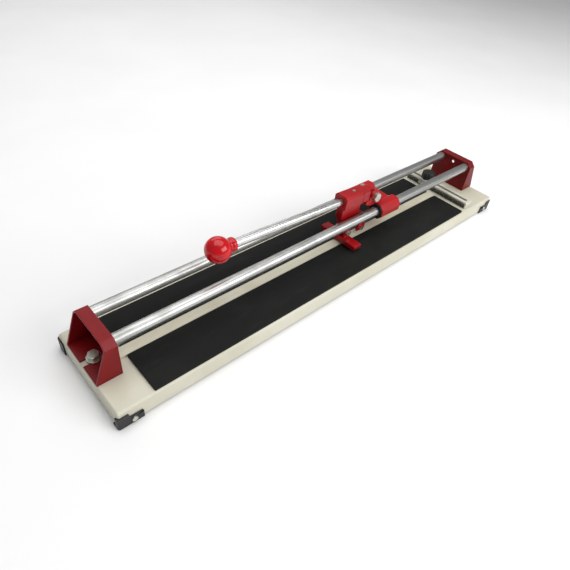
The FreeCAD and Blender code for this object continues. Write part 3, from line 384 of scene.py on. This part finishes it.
# %% Turn the ball and its collar
def turned(profile, sides=64):
    """Extrudes a disc through (distance, radius) steps along +Z."""
    bpy.ops.object.select_all(action="DESELECT")
    before_at, before_radius = profile[0]
    bpy.ops.mesh.primitive_circle_add(vertices=sides, radius=before_radius, fill_type="NGON",
                                      location=(0, 0, 0))
    thing = bpy.context.object
    edit()
    bpy.ops.mesh.select_all(action="SELECT")
    bpy.ops.transform.translate(value=(0, 0, before_at))
    for at, radius in profile[1:]:
        bpy.ops.mesh.extrude_region_move(TRANSFORM_OT_translate={"value": (0, 0, at - before_at)})
        ratio = radius / before_radius
        bpy.ops.transform.resize(value=(ratio, ratio, 1), center_override=(0, 0, at))
        before_at, before_radius = at, radius
    edit(False)
    return thing


knob_low, knob_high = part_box("handle_knob")
HANDLE_TILT = math.radians(2.95)
BALL_RADIUS = (knob_high[2] - knob_low[2]) / 2
ball_centre = Vector((knob_low[0] + BALL_RADIUS, 0, (knob_high[2] + knob_low[2]) / 2))
COLLAR_RADIUS, COLLAR_END, TUBE_RADIUS = 9.4 * MM, 24.4 * MM, 6.05 * MM
BALL_STEPS = 39
INSIDE = 0.999   # keeps the ball just within its fitted shape
waist_angle = math.asin(0.47)
profile = []
for i in range(1, BALL_STEPS + 1):
    angle = math.pi - (math.pi - waist_angle) * i / BALL_STEPS
    profile.append((BALL_RADIUS * math.cos(angle) * INSIDE, BALL_RADIUS * math.sin(angle) * INSIDE))
waist_at = profile[-1][0]
# The waist flares into the collar, and the last two steps are the socket that the tube enters.
profile += [(waist_at + 0.9 * MM, 7.8 * MM), (waist_at + 2.0 * MM, 8.0 * MM),
            (waist_at + 3.4 * MM, 8.8 * MM), (waist_at + 4.8 * MM, COLLAR_RADIUS),
            (COLLAR_END - 2.4 * MM, COLLAR_RADIUS),
            (COLLAR_END - 1.1 * MM, COLLAR_RADIUS - 0.4 * MM),
            (COLLAR_END - 0.3 * MM, COLLAR_RADIUS - 1.2 * MM),
            (COLLAR_END, COLLAR_RADIUS - 2.2 * MM), (COLLAR_END, TUBE_RADIUS),
            (COLLAR_END - 7 * MM, TUBE_RADIUS)]
knob = turned(profile)
knob.rotation_euler = (0, math.pi / 2 + HANDLE_TILT, 0)
knob.location = ball_centre
closed(knob, "ball_handle", "lever", ball_plastic, smooth=50)
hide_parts("handle_knob")

# %% [markdown]
# ## Foot screws
# Each moulded foot is held by one cross-recessed pan-head screw. One head is turned and cut with
# two crossed bars, and then copied to the four corners, turned to face outwards.

# %% A pan head with a cross recess, copied to four corners
CROWN = 1.02       # the dome's top, as a share of the head's height
HEAD_TWIST = 0.4   # radians between one recess and the next


def pan_head(radius, height):
    dome = [(0, radius * 0.96), (height * 0.35, radius), (height * 0.75, radius * 0.88),
            (height, radius * 0.60), (height * CROWN, radius * 0.30)]
    head = turned(dome, sides=32)
    for turn in (0, math.pi / 2):
        bpy.ops.mesh.primitive_cube_add(size=1, location=(0, 0, height), rotation=(0, 0, turn))
        bar = bpy.context.object
        bar.scale = (radius * 1.15, radius * 0.26, height * 1.1)
        modified(head, "BOOLEAN", object=bar, operation="DIFFERENCE", solver="EXACT")
        bpy.data.objects.remove(bar)
    return head


screw_low, screw_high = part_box("foot_screws")
FOOT_HEAD_RADIUS = 3.4 * MM
FOOT_HEAD_HEIGHT = 1.75 * MM
first_head = pan_head(FOOT_HEAD_RADIUS, FOOT_HEAD_HEIGHT)
heads = []
for x in (screw_low[0] + FOOT_HEAD_RADIUS, screw_high[0] - FOOT_HEAD_RADIUS):
    for y, turn in ((screw_low[1], math.pi / 2), (screw_high[1], -math.pi / 2)):
        head = first_head.copy()
        head.data = first_head.data.copy()
        bpy.context.collection.objects.link(head)
        inward = FOOT_HEAD_HEIGHT * CROWN * (1 if y < 0 else -1)
        head.location = (x, y + inward, (screw_low[2] + screw_high[2]) / 2)
        head.rotation_mode = "ZYX"
        head.rotation_euler = (turn, 0, HEAD_TWIST * len(heads))
        heads.append(head)
bpy.data.objects.remove(first_head)
for number, head in enumerate(heads):
    closed(head, "foot_screw_head_" + str(number), "frame", zinc, smooth=40)

# %% [markdown]
# ## Finishes on the fitted pieces
# The pieces whose fitted shape is already right only need their finish.

# %% Give each remaining piece its finish
FINISHES = {
    "base_plate": cream_paint, "breaking_ridge": ridge_paint,
    "front_pad": pad_rubber, "rear_pad": pad_rubber,
    "foot_screws": zinc, "bracket_nuts": zinc, "front_rail": rail_chrome, "rear_rail": rail_chrome,
    "rail_plugs": zinc, "rail_washers": zinc, "fence_screws": zinc, "ruler_strip": ruler_print,
    "stop_tee_nut": zinc, "stop_stud": zinc,
    "bush_front_near": bush_plastic, "bush_front_far": bush_plastic,
    "bush_rear_near": bush_plastic, "bush_rear_far": bush_plastic, "handle_tube": handle_chrome,
    "knob_insert": zinc, "socket_screw": zinc, "wheel_axle": zinc, "scoring_wheel": tool_steel,
}
for node, material in FINISHES.items():
    slots = NODES[node].material_slots
    for slot in slots:
        slot.material = material
print("finished nodes:", len(FINISHES))

# %% [markdown]
# ## Floor, light and camera
# A pale floor and broad soft lights show shape and gloss without hard shadows.

# %% Floor
FLOOR_SIZE, FLOOR_HEIGHT = 14, -0.0002   # a hair below the feet
bpy.ops.object.select_all(action="DESELECT")
bpy.ops.mesh.primitive_plane_add(size=FLOOR_SIZE, location=(0, 0, FLOOR_HEIGHT))
floor = bpy.context.object
floor.name = "floor"
start("floor_paper")
paper_tone = blend(ramp(noise(3), 0.3, 0.7), (0.93, 0.93, 0.93), (0.90, 0.90, 0.90))
floor.data.materials.append(finish("floor_paper", paper_tone, 0.75))

# %% [markdown]
# A wide light hangs overhead, a second one stands in front, and a weak one behind lifts the far
# side. The pale room fills in the rest.

# %% Lights
ROOM_LIGHT = 0.26


def softbox(name, place_at, aim, size, power):
    data = bpy.data.lights.new(name, "AREA")
    data.shape = "RECTANGLE"
    data.size, data.size_y = size
    data.energy = power
    lamp = bpy.data.objects.new(name, data)
    lamp.location = place_at
    lamp.rotation_euler = (Vector(aim) - Vector(place_at)).to_track_quat("-Z", "Y").to_euler()
    bpy.context.collection.objects.link(lamp)
    print("light:", name, power, "W")


softbox("overhead", (0.1, 0.1, 1.9), (0, 0, 0), (2.2, 1.6), 27)
softbox("front", (0.7, -1.7, 1.1), (0.1, 0, 0), (1.8, 1.0), 30)
softbox("behind", (0.6, 1.6, 1.2), (0.2, 0, 0), (1.8, 0.8), 7)
world = bpy.data.worlds.new("pale_room")
world.use_nodes = True
world.node_tree.nodes["Background"].inputs["Color"].default_value = (1, 1, 1, 1)
world.node_tree.nodes["Background"].inputs["Strength"].default_value = ROOM_LIGHT
bpy.context.scene.world = world
bpy.context.scene.view_settings.view_transform = "Standard"

# %% [markdown]
# The camera stands near the handle end and looks down along the rails. Three angles turn it, and
# its matrix is put together from the three directions that they give.

# %% Camera
EYE = Vector((-0.4732, -0.3686, 0.4836))
YAW, PITCH, ROLL = (math.radians(a) for a in (42.91, 42.22, 7.61))
LENS, SENSOR = 30.55, 36   # millimetres
forward = Vector((math.cos(YAW) * math.cos(PITCH), math.sin(YAW) * math.cos(PITCH), -math.sin(PITCH)))
level = forward.cross(Vector((0, 0, 1))).normalized()
rise = level.cross(forward)
right = level * math.cos(ROLL) + rise * math.sin(ROLL)
upward = rise * math.cos(ROLL) - level * math.sin(ROLL)
camera_data = bpy.data.cameras.new("camera")
camera_data.lens = LENS
camera_data.sensor_width = SENSOR
camera_data.clip_start = 0.01
camera = bpy.data.objects.new("camera", camera_data)
camera.matrix_world = Matrix((
    (right.x, upward.x, -forward.x, EYE.x),
    (right.y, upward.y, -forward.y, EYE.y),
    (right.z, upward.z, -forward.z, EYE.z),
    (0, 0, 0, 1)))
bpy.context.collection.objects.link(camera)
bpy.context.scene.camera = camera
print("camera at", tuple(round(v, 4) for v in EYE))
